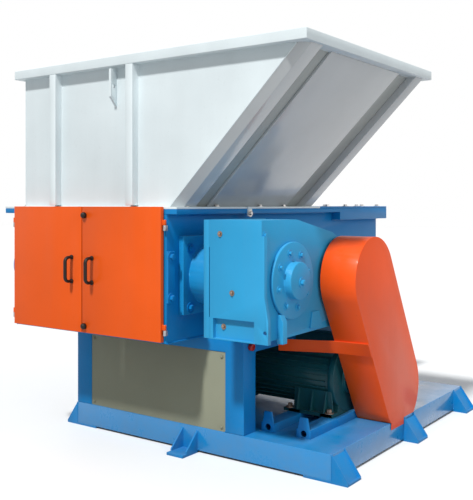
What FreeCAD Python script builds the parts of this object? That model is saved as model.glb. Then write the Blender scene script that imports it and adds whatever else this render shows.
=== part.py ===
# Single shaft shredder: hopper, cutting chamber with front doors, reducer,
# belt drive and motor on one welded base.
# Origin: on the floor, under the middle of the machine's overall box. X runs
# along the rotor to the drive side, Y away from the doors, Z up. Millimetres.
import FreeCAD, Part
import Sketcher
import math
import os
import re

doc = FreeCAD.newDocument("shredder")
V = FreeCAD.Vector

# Driving dimensions
sizes = doc.addObject("Spreadsheet::Sheet", "Dims")
VALUES = [
    # Base deck and its feet
    ("deck_x", 190),
    ("deck_y", 17),
    ("deck_length", 1890),
    ("deck_depth", 1900),
    ("deck_top", 150),
    ("deck_sheet", 10),
    ("skirt_wall", 8),
    ("skirt_lift", 12),
    ("foot_width", 150),
    ("foot_reach", 95),
    ("foot_inset", 170),
    ("foot_lip", 16),
    ("foot_step", 14),
    ("foot_web", 10),
    ("side_foot_y", 46),
    ("front_foot_x", 195),
    ("front_foot_reach", 140),
    ("front_foot_width", 120),
    ("gusset_thick", 10),
    ("toe_rise", 130),
    ("toe_nose", 28),
    ("toe_gusset_reach", 105),
    # Frame under the chamber
    ("frame_width", 1336),
    ("frame_top", 683),
    ("post_wide", 130),
    ("post_deep", 120),
    ("frame_beam", 80),
    ("panel_thick", 3),
    ("panel_recess", 4),
    # Chamber
    ("chamber_centre", -323),
    ("chamber_width", 1256),
    ("chamber_front", -1269),
    ("chamber_back", 1317),
    ("chamber_wall", 30),
    ("chamber_top", 1418),
    ("flange_reach", 72),
    ("flange_reach_left", 113),
    ("flange_deep", 30),
    ("cheek_front", 575),
    ("cheek_deep", 55),
    ("rear_reach", 45),
    ("sill_deep", 60),
    ("sill_high", 90),
    ("strip_thick", 12),
    ("strip_deep", 57),
    ("strip_bottom", 904),
    ("strip_top", 1186),
    # Rotor and cutting tools
    ("rotor_y", -953),
    ("rotor_z", 1040),
    ("rotor_radius", 190),
    ("shaft_radius", 62),
    ("end_gap", 6),
    ("track_count", 10),
    ("knife_side", 60),
    ("knife_thick", 22),
    ("knife_rise", 16),
    ("knife_gap", 0.3),
    ("pocket_reach", 44),
    ("floor_drop", 40),
    ("bed_tooth", 14),
    ("floor_plate", 30),
    ("bed_knife_deep", 90),
    ("bed_knife_gap", 6),
    ("screen_gap", 14),
    ("screen_thick", 10),
    ("screen_upper_gap", 10),
    # Pusher
    ("ram_front", 347),
    ("ram_height", 300),
    ("ram_gap", 4),
    ("ram_rear_gap", 60),
    ("cover_plate", 12),
    ("cover_gap", 5),
    # Bearing housings
    ("bearing_radius", 165),
    ("bearing_length", 190),
    ("bearing_flange", 212),
    ("bearing_flange_up", 229),
    ("bearing_flange_down", 210),
    ("bearing_flange_thick", 34),
    ("bearing_cap", 96),
    ("bearing_cap_thick", 55),
    # Hopper
    ("hopper_left_inset", 41),
    ("hopper_right_inset", 9),
    ("slope_reach", 812),
    ("hopper_front_inset", 39),
    ("hopper_depth", 1457),
    ("hopper_wall", 6),
    ("hopper_flange", 12),
    ("foot_flange_reach", 55),
    ("rim_bottom", 2235),
    ("rim_top", 2290),
    ("rim_front_reach", 50),
    ("rim_right_reach", 85),
    ("rib_width", 55),
    ("rib_foot", 8),
    ("rib_left", 307),
    ("rib_right", 944),
    ("rib_near_share", 0.25),
    ("channel_width", 145),
    ("channel_rise", 45),
    ("panel_rise", 18),
    ("panel_gap", 165),
    ("weld_gap", 0.3),
    ("lug_place", 797),
    ("lug_thick", 16),
    ("lug_drop", 230),
    ("lug_inset", 12),
    ("lug_eye", 14),
    ("lug_eye_drop", 110),
    ("clip_y", -587),
    ("clip_width", 44),
    ("clip_thick", 8),
    ("clip_drop", 58),
    # Doors
    ("door_gap", 6),
    ("door_seam", 6),
    ("door_thick", 25),
    ("door_sheet", 4),
    ("door_bottom", 693),
    ("door_top", 1431),
    ("handle_length", 170),
    ("handle_reach", 62),
    ("handle_rod", 11),
    ("handle_z", 1060),
    ("handle_offset", 85),
    ("knob_radius", 20),
    ("knob_rise", 26),
    ("knob_offset", 24),
    ("knob_high", 1380),
    ("knob_low", 731),
    ("hinge_radius", 9),
    ("hinge_length", 60),
    ("hinge_low_z", 760),
    ("hinge_high_z", 1330),
    ("hinge_pin", 5),
    ("hinge_play", 0.5),
    # Reducer
    ("reducer_gap", 3),
    ("reducer_width", 371),
    ("reducer_bottom", 736),
    ("reducer_top", 1362),
    ("reducer_front", -1232),
    ("reducer_back", -243),
    ("reducer_flange", 36),
    ("reducer_flange_margin", 60),
    ("seam_width", 5),
    ("seam_low", 849),
    ("seam_high", 1218),
    ("recess_left", 27),
    ("recess_right", 288),
    ("recess_low", 741),
    ("recess_high", 847),
    ("recess_deep", 24),
    ("reducer_lug_reach", 38),
    ("reducer_lug_high", 118),
    ("reducer_lug_hole", 11),
    ("side_rib_reach", 16),
    ("side_rib_wide", 26),
    ("casing_step", 60),
    ("casing_low", 110),
    ("casing_high", 130),
    ("casing_fall", 80),
    ("output_cover", 205),
    ("output_cover_thick", 18),
    ("output_cap", 100),
    ("output_cap_thick", 44),
    ("input_y", -433),
    ("input_z", 1017),
    ("input_shaft_radius", 28),
    # Belt drive
    ("guard_gap", 20),
    ("guard_width", 219),
    ("guard_hang", 40),
    ("guard_shaft_gap", 32),
    ("pulley_inset", 45),
    ("guard_radius", 243),
    ("guard_sheet", 3),
    ("motor_y", -258),
    ("motor_z", 398),
    ("guard_low_y", -54),
    ("guard_low_z", 333),
    ("big_pulley", 190),
    ("small_pulley", 72),
    ("belt_width", 110),
    ("belt_thick", 10),
    ("belt_inset", 5),
    # Motor
    ("motor_radius", 185),
    ("motor_gap", 18),
    ("motor_length", 775),
    ("cowl_length", 90),
    ("shield_length", 40),
    ("nose_radius", 90),
    ("nose_length", 20),
    ("fin_rise", 15),
    ("fin_thick", 5),
    ("fin_end", 20),
    ("fin_count", 36),
    ("motor_rail_top", 198),
    ("rail_near_back", 35),
    ("rail_spacing", 235),
    ("rail_width", 90),
    ("rail_front_y", -770),
    ("rail_behind", 230),
    ("rail_wall", 8),
    ("horn_top", 262),
    ("horn_thick", 12),
    ("horn_head", 46),
    ("horn_hole", 19),
    ("motor_foot_width", 80),
    ("motor_foot_reach", 225),
    ("motor_foot_drop", 60),
    ("foot_plate", 22),
    ("foot_waist", 150),
    ("foot_back", 20),
    ("saddle_gap", 0.5),
    ("motor_shaft_radius", 27.5),
    # Bracket between the frame and the guard
    ("bracket_low", 575),
    ("bracket_high", 645),
    ("bracket_thick", 8),
    ("bracket_share", 0.55),
    # Stop button
    ("button_radius", 21),
    ("button_rise", 26),
    ("button_inset", 60),
    ("button_z", 640),
]
for row, (word, number) in enumerate(VALUES, start=1):
    sizes.set("A%d" % row, word)
    sizes.set("B%d" % row, str(number))
    sizes.setAlias("B%d" % row, word)
doc.recompute()
WORDS = set(word for word, number in VALUES)


def tie(text):
    """Expression text with each size name pointing at the sheet."""
    return re.sub(
        r"[a-z_]+[a-z0-9_]*",
        lambda m: "Dims." + m.group(0) if m.group(0) in WORDS else m.group(0),
        str(text),
    )


def bind(item, prop, text):
    item.setExpression(prop, tie(text))


def place(item, x, y, z):
    bind(item, ".Placement.Base.x", x)
    bind(item, ".Placement.Base.y", y)
    bind(item, ".Placement.Base.z", z)


def block(name, x0, x1, y0, y1, z0, z1):
    """Box between two corners, each side an expression."""
    item = doc.addObject("Part::Box", name)
    bind(item, "Length", "(%s)-(%s)" % (x1, x0))
    bind(item, "Width", "(%s)-(%s)" % (y1, y0))
    bind(item, "Height", "(%s)-(%s)" % (z1, z0))
    place(item, x0, y0, z0)
    return item


TURN = {
    "x": FreeCAD.Rotation(V(0, 1, 0), 90),
    "y": FreeCAD.Rotation(V(1, 0, 0), -90),
    "z": FreeCAD.Rotation(),
}


def rod(name, way, x, y, z, radius, length):
    """Cylinder that starts at a point and runs along +X, +Y or +Z."""
    item = doc.addObject("Part::Cylinder", name)
    item.Placement = FreeCAD.Placement(V(0, 0, 0), TURN[way])
    bind(item, "Radius", radius)
    bind(item, "Height", length)
    place(item, x, y, z)
    return item


def cut(name, base, tool):
    item = doc.addObject("Part::Cut", name)
    item.Base = base
    item.Tool = tool
    return item


def fuse(name, *shapes):
    item = doc.addObject("Part::MultiFuse", name)
    item.Shapes = list(shapes)
    item.Refine = True
    return item


def group(name, *shapes):
    """Several separate solids kept as one piece."""
    item = doc.addObject("Part::Compound", name)
    item.Links = list(shapes)
    return item


PLANES = {"xy": "XY_Plane", "xz": "XZ_Plane", "yz": "YZ_Plane"}


def outline(body, name, plane, points, offset="0"):
    """Closed straight-sided sketch; every corner is set by expressions."""
    sketch = body.newObject("Sketcher::SketchObject", name)
    role = PLANES[plane]
    origin = [f for f in body.Origin.OriginFeatures if f.Role == role][0]
    sketch.AttachmentSupport = [(origin, "")]
    sketch.MapMode = "FlatFace"
    values = [(number_of(x), number_of(y)) for x, y in points]
    count = len(points)
    for i in range(count):
        a = V(values[i][0], values[i][1], 0)
        b = V(values[(i + 1) % count][0], values[(i + 1) % count][1], 0)
        sketch.addGeometry(Part.LineSegment(a, b), False)
    for i in range(count):
        sketch.addConstraint(Sketcher.Constraint("Coincident", i, 2, (i + 1) % count, 1))
    for i in range(count):
        for axis, kind in enumerate(("DistanceX", "DistanceY")):
            label = "corner%d%s" % (i, "xy"[axis])
            start = float(values[i][axis])
            index = sketch.addConstraint(Sketcher.Constraint(kind, -1, 1, i, 1, start))
            sketch.renameConstraint(index, label)
            bind(sketch, "Constraints." + label, points[i][axis])
    bind(sketch, ".AttachmentOffset.Base.z", offset)
    return sketch


def number_of(text):
    """Present value of an expression, for a sketch's first guess."""
    names = dict(VALUES)
    filled = re.sub(
        r"[a-z_]+[a-z0-9_]*",
        lambda m: repr(float(names[m.group(0)])) if m.group(0) in names else m.group(0),
        str(text),
    )
    sheet_cell = "Z1"
    sizes.set(sheet_cell, "=" + filled)
    sizes.recompute()
    return float(sizes.get(sheet_cell))


def prism(name, plane, points, offset, length):
    """PartDesign body: one outline padded along its plane's normal."""
    body = doc.addObject("PartDesign::Body", name)
    sketch = outline(body, name + "_sketch", plane, points, offset)
    pad = body.newObject("PartDesign::Pad", name + "_pad")
    pad.Profile = sketch
    bind(pad, "Length", length)
    body.Tip = pad
    return body


# Places that several pieces share
DECK_L = "(deck_x-deck_length/2)"
DECK_R = "(deck_x+deck_length/2)"
DECK_F = "(deck_y-deck_depth/2)"
DECK_B = "(deck_y+deck_depth/2)"
FRAME_R = "(deck_x-deck_length/2+frame_width)"
CH_L = "(chamber_centre-chamber_width/2)"
CH_R = "(chamber_centre+chamber_width/2)"
FL_L = "(chamber_centre-chamber_width/2-flange_reach_left)"
FL_R = "(chamber_centre+chamber_width/2+flange_reach)"
HL = "(chamber_centre-chamber_width/2+hopper_left_inset)"
HR = "(chamber_centre+chamber_width/2-hopper_right_inset)"
HT = "(chamber_centre+chamber_width/2-hopper_right_inset+slope_reach)"
HF = "(chamber_front+hopper_front_inset)"
HK = "(chamber_front+hopper_front_inset+hopper_depth)"
RED_L = "(chamber_centre+chamber_width/2+bearing_flange_thick+bearing_length+reducer_gap)"
RED_R = "(%s+reducer_width)" % RED_L
GD_IN = "(%s+guard_gap)" % RED_R
GD_OUT = "(%s+guard_width)" % GD_IN
MOT_R = "(%s-motor_gap)" % GD_IN
MOT_L = "(%s-motor_length)" % MOT_R
NODES = []


def keep(item, label):
    item.Label = label
    NODES.append(item)
    return item


# Base deck: folded tray, skirt all round and two cross ribs under the sheet
tray = block("tray_outer", DECK_L, DECK_R, DECK_F, DECK_B, "skirt_lift", "deck_top")
hollow = block(
    "tray_hollow",
    DECK_L + "+skirt_wall",
    DECK_R + "-skirt_wall",
    DECK_F + "+skirt_wall",
    DECK_B + "-skirt_wall",
    "skirt_lift-1",
    "deck_top-deck_sheet",
)
keep(cut("deck_cut", tray, hollow), "base_deck")

# Feet of the base: ground plate, two gussets and a sloped web let in between
feet = []
for side, tag in ((-1, "left"), (1, "right")):
    edge = "(deck_x+%d*deck_length/2)" % side
    tip = "(deck_x+%d*(deck_length/2+foot_reach))" % side
    inner = "(deck_x+%d*(deck_length/2-foot_inset))" % side
    ridge = "(deck_x+%d*(deck_length/2+foot_reach-foot_step))" % side
    behind = "(deck_x+%d*(deck_length/2+foot_reach-foot_step-foot_web))" % side
    ground = [(inner, "0"), (tip, "0"), (tip, "skirt_lift"), (inner, "skirt_lift")]
    cheek = [(edge, "skirt_lift-1"), (tip, "skirt_lift-1"), (tip, "foot_lip"), (edge, "deck_top")]
    web = [
        (edge, "deck_top-foot_step-foot_web"),
        (edge, "deck_top-foot_step"),
        (ridge, "skirt_lift-1"),
        (behind, "skirt_lift-1"),
    ]
    for where in ("front", "middle", "rear"):
        if where == "front":
            start = DECK_F
        elif where == "middle":
            start = "(side_foot_y-foot_width/2)"
        else:
            start = "(%s-foot_width)" % DECK_B
        name = "foot_%s_%s" % (tag, where)
        whole = "-(%s+foot_width)" % start
        near = "-(%s+gusset_thick)" % start
        feet.append(
            fuse(
                name,
                prism(name + "_ground", "xz", ground, whole, "foot_width"),
                prism(name + "_near", "xz", cheek, near, "gusset_thick"),
                prism(name + "_far", "xz", cheek, whole, "gusset_thick"),
                prism(name + "_web", "xz", web, whole, "foot_width"),
            )
        )
keep(group("feet_group", *feet), "base_feet")

# Front foot: short toe with two gussets on the front skirt
toe = block(
    "toe_plate",
    "front_foot_x-front_foot_width/2",
    "front_foot_x+front_foot_width/2",
    DECK_F + "-front_foot_reach",
    DECK_F,
    "0",
    "foot_lip",
)
gussets = []
for side, tag in ((-1, "left"), (1, "right")):
    offset = "front_foot_x+%d*(front_foot_width/2-gusset_thick/2)-gusset_thick/2" % side
    gussets.append(
        prism(
            "toe_gusset_" + tag,
            "yz",
            [
                (DECK_F, "foot_lip/2"),
                (DECK_F, "toe_rise"),
                (DECK_F + "-toe_gusset_reach", "toe_nose"),
                (DECK_F + "-toe_gusset_reach", "foot_lip/2"),
            ],
            offset,
            "gusset_thick",
        )
    )
keep(fuse("toe_fuse", toe, *gussets), "front_foot")

# Support frame under the chamber: four posts and a ring of beams
posts = []
for x0, x1, tag in (
    (DECK_L, DECK_L + "+post_wide", "left"),
    (FRAME_R + "-post_wide", FRAME_R, "right"),
):
    for y0, y1, mark in (
        (DECK_F, DECK_F + "+post_deep", "front"),
        (DECK_B + "-post_deep", DECK_B, "rear"),
    ):
        posts.append(block("post_%s_%s" % (tag, mark), x0, x1, y0, y1, "deck_top", "frame_top-frame_beam"))
beam_outer = block("beam_outer", DECK_L, FRAME_R, DECK_F, DECK_B, "frame_top-frame_beam", "frame_top")
beam_inner = block(
    "beam_inner",
    DECK_L + "+post_wide",
    FRAME_R + "-post_wide",
    DECK_F + "+post_deep",
    DECK_B + "-post_deep",
    "frame_top-frame_beam-1",
    "frame_top+1",
)
ring = cut("beam_cut", beam_outer, beam_inner)
keep(fuse("frame_fuse", ring, *posts), "support_frame")

# Sheet panels let in between the posts
front_sheet = block(
    "front_sheet",
    DECK_L + "+post_wide",
    FRAME_R + "-post_wide",
    DECK_F + "+panel_recess",
    DECK_F + "+panel_recess+panel_thick",
    "deck_top",
    "frame_top-frame_beam",
)
left_sheet = block(
    "left_sheet",
    DECK_L + "+panel_recess",
    DECK_L + "+panel_recess+panel_thick",
    DECK_F + "+post_deep",
    DECK_B + "-post_deep",
    "deck_top",
    "frame_top-frame_beam",
)
keep(group("panels_group", front_sheet, left_sheet), "frame_panels")

# Chamber side plates with the rotor shaft's holes and a strip at the front edge
plates = []
for side, label in ((-1, "left_plate"), (1, "right_plate")):
    face = CH_L if side < 0 else CH_R + "-chamber_wall"
    plate = block(
        label + "_blank",
        face,
        face + "+chamber_wall",
        "chamber_front",
        "chamber_back",
        "frame_top",
        "chamber_top-flange_deep",
    )
    hole = rod(label + "_hole", "x", face + "-1", "rotor_y", "rotor_z", "shaft_radius+end_gap", "chamber_wall+2")
    strip = block(
        label + "_strip",
        CH_L + "-strip_thick" if side < 0 else CH_R,
        CH_L if side < 0 else CH_R + "+strip_thick",
        "chamber_front",
        "chamber_front+strip_deep",
        "strip_bottom",
        "strip_top",
    )
    plates.append(fuse(label + "_fuse", cut(label + "_cut", plate, hole), strip))
keep(group("plates_group", *plates), "chamber_side_plates")

# Top flange: thick ring that carries the hopper, with deep cheeks at the rear
flange_outer = block(
    "flange_outer",
    FL_L,
    FL_R,
    "chamber_front",
    "chamber_back+rear_reach",
    "chamber_top-flange_deep",
    "chamber_top",
)
flange_inner = block(
    "flange_inner",
    CH_L + "+chamber_wall",
    CH_R + "-chamber_wall",
    "chamber_front+sill_deep",
    "chamber_back-chamber_wall",
    "chamber_top-flange_deep-1",
    "chamber_top+1",
)
cheeks = []
for x0, x1, tag in ((FL_L, CH_L, "left"), (CH_R, FL_R, "right")):
    cheeks.append(
        block(
            "cheek_" + tag,
            x0,
            x1,
            "cheek_front",
            "chamber_back+rear_reach",
            "chamber_top-flange_deep-cheek_deep",
            "chamber_top-flange_deep",
        )
    )
keep(fuse("flange_fuse", cut("flange_cut", flange_outer, flange_inner), *cheeks), "chamber_flange")

# Cross members between the side plates: rear plate and front sill
rear_plate = block(
    "rear_plate",
    CH_L + "+chamber_wall",
    CH_R + "-chamber_wall",
    "chamber_back-chamber_wall",
    "chamber_back",
    "frame_top",
    "chamber_top-flange_deep",
)
sill = block(
    "sill",
    CH_L + "+chamber_wall",
    CH_R + "-chamber_wall",
    "chamber_front",
    "chamber_front+sill_deep",
    "frame_top",
    "frame_top+sill_high",
)
keep(group("cross_group", rear_plate, sill), "chamber_cross_plates")

# Rotor tracks, which the knives and the bed knife's notches share
DRUM_0 = "(chamber_centre-chamber_width/2+chamber_wall+end_gap)"
DRUM_1 = "(chamber_centre+chamber_width/2-chamber_wall-end_gap)"
TRACK = "((chamber_width-2*chamber_wall-2*end_gap)/track_count)"
TRACKS = int(dict(VALUES)["track_count"])

# Feed floor behind the rotor, with the toothed bed knife on its front edge
BED = "(rotor_y+rotor_radius+knife_rise+bed_knife_gap)"
keep(
    block(
        "floor_block",
        CH_L + "+chamber_wall",
        CH_R + "-chamber_wall",
        BED,
        "chamber_back-chamber_wall",
        "rotor_z-floor_drop-floor_plate",
        "rotor_z-floor_drop",
    ),
    "feed_floor",
)
teeth = [
    (CH_L + "+chamber_wall", BED + "+bed_knife_deep"),
    (CH_L + "+chamber_wall", BED + "-bed_tooth"),
]
for i in range(TRACKS):
    teeth.append(("%s+%s*%.1f" % (DRUM_0, TRACK, i + 0.5), BED))
    if i < TRACKS - 1:
        teeth.append(("%s+%s*%d" % (DRUM_0, TRACK, i + 1), BED + "-bed_tooth"))
teeth.append((CH_R + "-chamber_wall", BED + "-bed_tooth"))
teeth.append((CH_R + "-chamber_wall", BED + "+bed_knife_deep"))
keep(prism("bed_bar", "xy", teeth, "rotor_z-floor_drop", "floor_drop"), "bed_knife")

# Screen: half tube under the rotor
SCR = "(rotor_radius+knife_rise+screen_gap)"
tube = rod(
    "screen_tube",
    "x",
    CH_L + "+chamber_wall",
    "rotor_y",
    "rotor_z",
    SCR + "+screen_thick",
    "chamber_width-2*chamber_wall",
)
bore = rod(
    "screen_bore",
    "x",
    CH_L + "+chamber_wall-1",
    "rotor_y",
    "rotor_z",
    SCR,
    "chamber_width-2*chamber_wall+2",
)
screen_ring = cut("screen_ring", tube, bore)
upper = block(
    "screen_upper",
    CH_L,
    CH_R,
    "rotor_y-2*rotor_radius",
    "rotor_y+2*rotor_radius",
    "rotor_z-floor_drop-floor_plate-screen_upper_gap",
    "rotor_z+2*rotor_radius",
)
keep(cut("screen_cut", screen_ring, upper), "screen")

# Rotor: one drum with a pocket milled for each knife, and its shaft
drum = rod("drum", "x", DRUM_0, "rotor_y", "rotor_z", "rotor_radius", "%s-%s" % (DRUM_1, DRUM_0))
shaft = rod(
    "drum_shaft",
    "x",
    CH_L + "-bearing_flange_thick-bearing_length",
    "rotor_y",
    "rotor_z",
    "shaft_radius",
    "%s-(%s)+bearing_flange_thick+bearing_length" % (RED_L, CH_L),
)

# Knives: square blocks set on edge, two to a track, against each pocket's back
KNIFE_R = "(rotor_radius+knife_rise-knife_side*sqrt(2)/2)"
knives = []
pockets = []
for i in range(TRACKS):
    for half in range(2):
        turn = 180.0 * half + 360.0 / TRACKS * i
        spin = FreeCAD.Rotation(V(1, 0, 0), turn)
        up = spin.multVec(V(0, 0, 1))
        back = spin.multVec(V(0, -1, 0))
        middle = "%s+%s*%.1f" % (DRUM_0, TRACK, i + 0.5)
        pocket = doc.addObject("Part::Box", "pocket_%02d_%d" % (i, half))
        bind(pocket, "Length", "knife_side*sqrt(2)+2*knife_gap")
        bind(pocket, "Width", "knife_thick+pocket_reach")
        bind(pocket, "Height", "knife_side*sqrt(2)+2*knife_gap")
        pocket.Placement = FreeCAD.Placement(V(0, 0, 0), spin)
        low = "(%s-knife_side*sqrt(2)/2-knife_gap)" % KNIFE_R
        place(
            pocket,
            middle + "-knife_side*sqrt(2)/2-knife_gap",
            "rotor_y+(%.6f)*knife_thick+(%.6f)*%s" % (back.y, up.y, low),
            "rotor_z+(%.6f)*knife_thick+(%.6f)*%s" % (back.z, up.z, low),
        )
        pockets.append(pocket)
        knife = doc.addObject("Part::Box", "knife_%02d_%d" % (i, half))
        bind(knife, "Length", "knife_side")
        bind(knife, "Width", "knife_thick")
        bind(knife, "Height", "knife_side")
        on_edge = spin.multiply(FreeCAD.Rotation(V(0, 1, 0), 45))
        knife.Placement = FreeCAD.Placement(V(0, 0, 0), on_edge)
        corner = on_edge.multVec(V(1, 0, 1))
        place(
            knife,
            "%s-(%.6f)*knife_side/2" % (middle, corner.x),
            "rotor_y+(%.6f)*%s+(%.6f)*knife_thick-(%.6f)*knife_side/2" % (up.y, KNIFE_R, back.y, corner.y),
            "rotor_z+(%.6f)*%s+(%.6f)*knife_thick-(%.6f)*knife_side/2" % (up.z, KNIFE_R, back.z, corner.z),
        )
        knives.append(knife)
milled = cut("drum_milled", drum, group("pockets_group", *pockets))
keep(fuse("rotor_fuse", milled, shaft), "rotor")
keep(group("knives_group", *knives), "rotor_knives")

# Pusher behind the rotor, drawn back, and the plate that covers it
keep(
    block(
        "ram_block",
        CH_L + "+chamber_wall+ram_gap",
        CH_R + "-chamber_wall-ram_gap",
        "ram_front",
        "chamber_back-chamber_wall-ram_rear_gap",
        "rotor_z-floor_drop",
        "rotor_z-floor_drop+ram_height",
    ),
    "pusher",
)
keep(
    block(
        "cover_block",
        FL_L,
        FL_R,
        HK + "+foot_flange_reach+cover_gap",
        "chamber_back+rear_reach",
        "chamber_top",
        "chamber_top+cover_plate",
    ),
    "rear_cover",
)

# Bearing housings at both ends of the rotor
bearings = []
for side, label in ((-1, "left_bearing"), (1, "right_bearing")):
    face = CH_L if side < 0 else CH_R
    x1 = face + ("-bearing_flange_thick-bearing_length" if side < 0 else "+bearing_flange_thick")
    low_x = CH_L + "-bearing_flange_thick" if side < 0 else CH_R
    plate = block(
        label + "_plate",
        low_x,
        low_x + "+bearing_flange_thick",
        "rotor_y-bearing_flange",
        "rotor_y+bearing_flange",
        "rotor_z-bearing_flange_down",
        "rotor_z+bearing_flange_up",
    )
    barrel = rod(label + "_barrel", "x", x1, "rotor_y", "rotor_z", "bearing_radius", "bearing_length")
    shell = fuse(label + "_fuse", plate, barrel)
    far = face + "-bearing_flange_thick-bearing_length-1" if side < 0 else face + "-1"
    room = rod(
        label + "_room",
        "x",
        far,
        "rotor_y",
        "rotor_z",
        "shaft_radius+hinge_play",
        "bearing_flange_thick+bearing_length+2",
    )
    bearings.append(cut(label + "_cut", shell, room))
keep(group("bearings_group", *bearings), "bearing_housings")
keep(
    rod(
        "left_cap",
        "x",
        CH_L + "-bearing_flange_thick-bearing_length-bearing_cap_thick",
        "rotor_y",
        "rotor_z",
        "bearing_cap",
        "bearing_cap_thick",
    ),
    "bearing_cover",
)

# Hopper: welded sheet walls, one of them sloped over the drive
HB = "(chamber_top+hopper_flange)"
SPREAD = "sqrt(1+(slope_reach/(rim_bottom-chamber_top-hopper_flange))^2)"
wall_points = [
    (HL, HB),
    (HR, HB),
    (HT, "rim_bottom"),
    (HL, "rim_bottom"),
]
front_wall = prism("front_wall", "xz", wall_points, "-(%s+hopper_wall)" % HF, "hopper_wall")
back_wall = prism("back_wall", "xz", wall_points, "-" + HK, "hopper_wall")
keep(group("end_walls_group", front_wall, back_wall), "hopper_end_walls")
keep(
    block(
        "left_wall",
        HL,
        HL + "+hopper_wall",
        HF + "+hopper_wall",
        HK + "-hopper_wall",
        HB,
        "rim_bottom",
    ),
    "hopper_left_wall",
)
slope_points = [
    (HR + "-hopper_wall*" + SPREAD, HB),
    (HR, HB),
    (HT, "rim_bottom"),
    (HT + "-hopper_wall*" + SPREAD, "rim_bottom"),
]
keep(
    prism(
        "slope_wall",
        "xz",
        slope_points,
        "-(%s-hopper_wall)" % HK,
        "hopper_depth-2*hopper_wall",
    ),
    "hopper_slope_wall",
)

# Hopper foot flange, with a clip that laps over the chamber's flange
foot_outer = block(
    "hopper_foot_outer", FL_L, FL_R, "chamber_front", HK + "+foot_flange_reach", "chamber_top", HB
)
foot_inner = block(
    "hopper_foot_inner",
    HL + "+hopper_wall",
    HR + "-hopper_wall*" + SPREAD,
    HF + "+hopper_wall",
    HK + "-hopper_wall",
    "chamber_top-1",
    HB + "+1",
)
clip = block(
    "hopper_clip",
    FL_R,
    FL_R + "+clip_thick",
    "clip_y-clip_width/2",
    "clip_y+clip_width/2",
    HB + "-clip_drop",
    HB,
)
keep(fuse("hopper_foot_fuse", cut("hopper_foot_cut", foot_outer, foot_inner), clip), "hopper_foot_flange")

# Rim: square tube ring that stands out from the walls
rim_outer = block(
    "rim_outer",
    HL + "-rim_front_reach",
    HT + "+rim_right_reach",
    HF + "-rim_front_reach",
    HK + "+rim_front_reach",
    "rim_bottom",
    "rim_top",
)
rim_inner = block(
    "rim_inner",
    HL + "+hopper_wall",
    HT + "-hopper_wall*" + SPREAD,
    HF + "+hopper_wall",
    HK + "-hopper_wall",
    "rim_bottom-1",
    "rim_top+1",
)
keep(cut("rim_cut", rim_outer, rim_inner), "hopper_rim")

# Ribs of the upright walls
ribs = []
for where, y0, y1 in (
    ("front", HF + "-rim_front_reach", HF),
    ("back", HK, HK + "+rim_front_reach"),
):
    for tag, spot in (("left", HL + "+rib_left"), ("right", HL + "+rib_right")):
        ribs.append(
            block(
                "rib_%s_%s" % (where, tag),
                spot + "-rib_width/2",
                spot + "+rib_width/2",
                y0,
                y1,
                HB + "+rib_foot",
                "rim_bottom",
            )
        )
for tag, share in (("near", "rib_near_share"), ("far", "(1-rib_near_share)")):
    middle = "(%s+hopper_depth*%s)" % (HF, share)
    ribs.append(
        block(
            "rib_side_" + tag,
            HL + "-rim_front_reach",
            HL,
            middle + "-rib_width/2",
            middle + "+rib_width/2",
            HB + "+rib_foot",
            "rim_bottom",
        )
    )
keep(group("ribs_group", *ribs), "hopper_ribs")

# Channels and centre panel on the sloped wall
band_points = [
    (HR + "+weld_gap", HB),
    (HR + "+channel_rise*" + SPREAD, HB),
    (HT + "+channel_rise*" + SPREAD, "rim_bottom"),
    (HT + "+weld_gap", "rim_bottom"),
]
near = prism("channel_near", "xz", band_points, "-(%s+channel_width)" % HF, "channel_width")
far = prism("channel_far", "xz", band_points, "-" + HK, "channel_width")
keep(group("channels_group", near, far), "slope_channels")
panel_points = [
    (HR + "+weld_gap", HB),
    (HR + "+panel_rise*" + SPREAD, HB),
    (HT + "+panel_rise*" + SPREAD, "rim_bottom"),
    (HT + "+weld_gap", "rim_bottom"),
]
keep(
    prism(
        "centre_panel",
        "xz",
        panel_points,
        "-(%s-channel_width-panel_gap)" % HK,
        "hopper_depth-2*channel_width-2*panel_gap",
    ),
    "slope_panel",
)

# Lifting lug: pointed plate on the front wall with an eye
LUG_X = "(%s+lug_place)" % HL
lug = prism(
    "lug_plate",
    "yz",
    [
        (HF, "rim_bottom-lug_drop"),
        (HF + "-rim_front_reach", "rim_bottom-lug_drop*0.75"),
        (HF + "-rim_front_reach", "rim_bottom-lug_inset"),
        (HF, "rim_bottom-lug_inset"),
    ],
    LUG_X + "-lug_thick/2",
    "lug_thick",
)
lug_hole = rod(
    "lug_hole",
    "x",
    LUG_X + "-lug_thick",
    HF + "-rim_front_reach/2",
    "rim_bottom-lug_eye_drop",
    "lug_eye",
    "2*lug_thick",
)
keep(cut("lug_cut", lug, lug_hole), "lifting_lug")

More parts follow.
